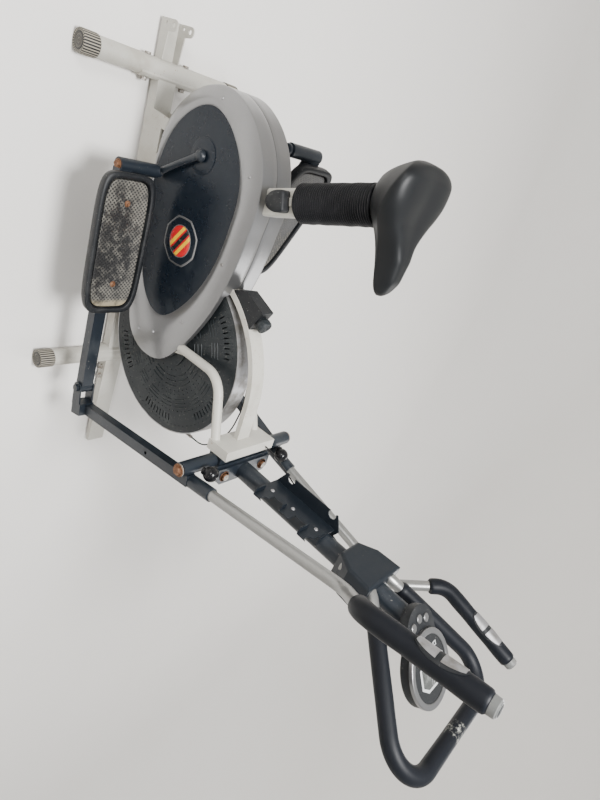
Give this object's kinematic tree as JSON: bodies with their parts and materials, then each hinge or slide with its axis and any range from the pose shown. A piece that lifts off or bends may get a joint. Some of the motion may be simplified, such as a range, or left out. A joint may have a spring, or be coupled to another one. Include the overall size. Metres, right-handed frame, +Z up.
{
  "type": "elliptical cross trainer",
  "caption": "Upright elliptical cross trainer with a saddle: swinging handle arms, foot plates on cranked bars, fan wheel, fixed loop handlebar and round console.",
  "frame": {"origin": "centre of the footprint's length and width, on the floor", "axes": "+X from the saddle end to the handlebar end, +Y to the rider's left, +Z up"},
  "size_m": [1.282, 0.6534, 1.4663],
  "materials": {
    "frame_paint": "satin, scuffed",
    "dark_paint": "satin, scuffed",
    "handle_steel": "satin",
    "rust_steel": "rusted",
    "machined_steel": "machined",
    "silver_plastic": "metallic satin",
    "navy_plastic": "semi-gloss",
    "black_plastic": "matte",
    "dusty_plastic": "matte, dusty",
    "tread_plastic": "worn",
    "foam": "foam",
    "saddle_cover": "grained vinyl",
    "boot_rubber": "matte",
    "belt_rubber": "matte",
    "strap_felt": "woven",
    "cable_black": "satin",
    "window": "gloss",
    "key_plastic": "metallic"
  },
  "bodies": {
    "frame": {"main_rail": "frame_paint", "rear_bracket": "frame_paint", "front_extension": "frame_paint", "rear_stabiliser": "frame_paint", "front_stabiliser": "frame_paint", "stabiliser_caps": "black_plastic", "frame_bolts": "rust_steel", "seat_tube": "frame_paint", "upper_frame": "frame_paint", "pivot_beam": "dark_paint", "pivot_axle": "machined_steel", "arm_bushes": "black_plastic", "post": "dark_paint", "holder_channel": "dark_paint", "holder_bracket": "black_plastic", "post_covers": "black_plastic", "loop_tube": "handle_steel", "loop_foam": "foam", "console_body": "black_plastic", "console_bezel": "silver_plastic", "console_face": "window", "right_housing": "silver_plastic", "left_housing": "silver_plastic", "housing_panels": "navy_plastic", "brake_strap": "strap_felt", "tension_cable": "cable_black", "tension_block": "black_plastic", "sensor_wire": "cable_black", "crank_bearings": "machined_steel", "drive_belt": "belt_rubber", "wheel_axle": "machined_steel", "bellows": "boot_rubber"},
    "crank": {"crank_axle": "machined_steel", "crank_arms": "dark_paint", "drive_pulley": "black_plastic"},
    "flywheel": {"flywheel_rim": "machined_steel", "wheel_covers": "dusty_plastic", "wheel_hub": "machined_steel"},
    "right_arm": {"right_arm": "dark_paint", "right_handle_tube": "handle_steel", "right_grip": "foam"},
    "left_arm": {"left_arm": "dark_paint", "left_handle_tube": "handle_steel", "left_grip": "foam"},
    "right_knob": {"right_ball_knob": "black_plastic"},
    "left_knob": {"left_ball_knob": "black_plastic"},
    "right_pedal": {"right_pedal_bar": "dark_paint", "right_foot_tray": "black_plastic", "right_tread": "tread_plastic"},
    "left_pedal": {"left_pedal_bar": "dark_paint", "left_foot_tray": "black_plastic", "left_tread": "tread_plastic"},
    "seat": {"seat_post": "handle_steel", "saddle_base": "black_plastic", "saddle": "saddle_cover"},
    "seat_pin": {"seat_knob": "black_plastic"},
    "brake_knob": {"tension_knob": "black_plastic"},
    "left_key": {"left_button": "key_plastic"},
    "middle_key": {"middle_button": "key_plastic"},
    "right_key": {"right_button": "key_plastic"}
  },
  "joints": [
    {"name": "crank_spin", "type": "hinge", "parent": "frame", "child": "crank", "pos_m": [-0.373, 0, 0.309], "axis": [0, 1, 0], "continuous": true},
    {"name": "flywheel_spin", "type": "hinge", "parent": "frame", "child": "flywheel", "pos_m": [0.131, 0, 0.318], "axis": [0, 1, 0], "continuous": true},
    {"name": "right_arm_swing", "type": "hinge", "parent": "frame", "child": "right_arm", "pos_m": [0.305, 0, 0.631], "axis": [0, -1, 0], "range_deg": [-31, 5.3]},
    {"name": "left_arm_swing", "type": "hinge", "parent": "frame", "child": "left_arm", "pos_m": [0.305, 0, 0.631], "axis": [0, -1, 0], "range_deg": [-5.35, 31.05]},
    {"name": "right_pedal_hinge", "type": "hinge", "parent": "right_arm", "child": "right_pedal", "pos_m": [0.32698, 0, 0.17002], "axis": [0, -1, 0], "range_deg": [-3.5, 20.2]},
    {"name": "left_pedal_hinge", "type": "hinge", "parent": "left_arm", "child": "left_pedal", "pos_m": [0.12497, 0, 0.20606], "axis": [0, -1, 0], "range_deg": [-20.2, 3.5]},
    {"name": "right_knob_turn", "type": "hinge", "parent": "right_arm", "child": "right_knob", "pos_m": [0.30262, -0.142, 0.68094], "axis": [0.7701, -0.6371, 0.0325], "continuous": true},
    {"name": "left_knob_turn", "type": "hinge", "parent": "left_arm", "child": "left_knob", "pos_m": [0.3245, 0.142, 0.67704], "axis": [0.7081, 0.6371, -0.3045], "continuous": true},
    {"name": "seat_height", "type": "slide", "parent": "frame", "child": "seat", "axis": [-0.2924, 0, 0.9563], "range_m": [-0.09, 0], "deforming": ["bellows"]},
    {"name": "seat_pin_pull", "type": "slide", "parent": "frame", "child": "seat_pin", "axis": [0, -1, 0], "range_m": [0, 0.008], "stiffness_N_per_m": 800},
    {"name": "brake_knob_turn", "type": "hinge", "parent": "frame", "child": "brake_knob", "pos_m": [-0.057, 0, 0.579], "axis": [0.4587, 0, 0.8886], "range_deg": [-135, 135]},
    {"name": "left_key_press", "type": "slide", "parent": "frame", "child": "left_key", "axis": [0.6018, 0, -0.7986], "range_m": [0, 0.001], "stiffness_N_per_m": 800},
    {"name": "middle_key_press", "type": "slide", "parent": "frame", "child": "middle_key", "axis": [0.6018, 0, -0.7986], "range_m": [0, 0.001], "stiffness_N_per_m": 800},
    {"name": "right_key_press", "type": "slide", "parent": "frame", "child": "right_key", "axis": [0.6018, 0, -0.7986], "range_m": [0, 0.001], "stiffness_N_per_m": 800}
  ],
  "couplings": [
    {"joint": "flywheel_spin", "follows": "crank_spin", "ratio": 5},
    {"joint": "left_arm_swing", "follows": "right_arm_swing", "ratio": -1},
    {"joint": "right_pedal_hinge", "follows": "right_arm_swing", "ratio": -0.65},
    {"joint": "left_pedal_hinge", "follows": "right_arm_swing", "ratio": 0.65}
  ]
}
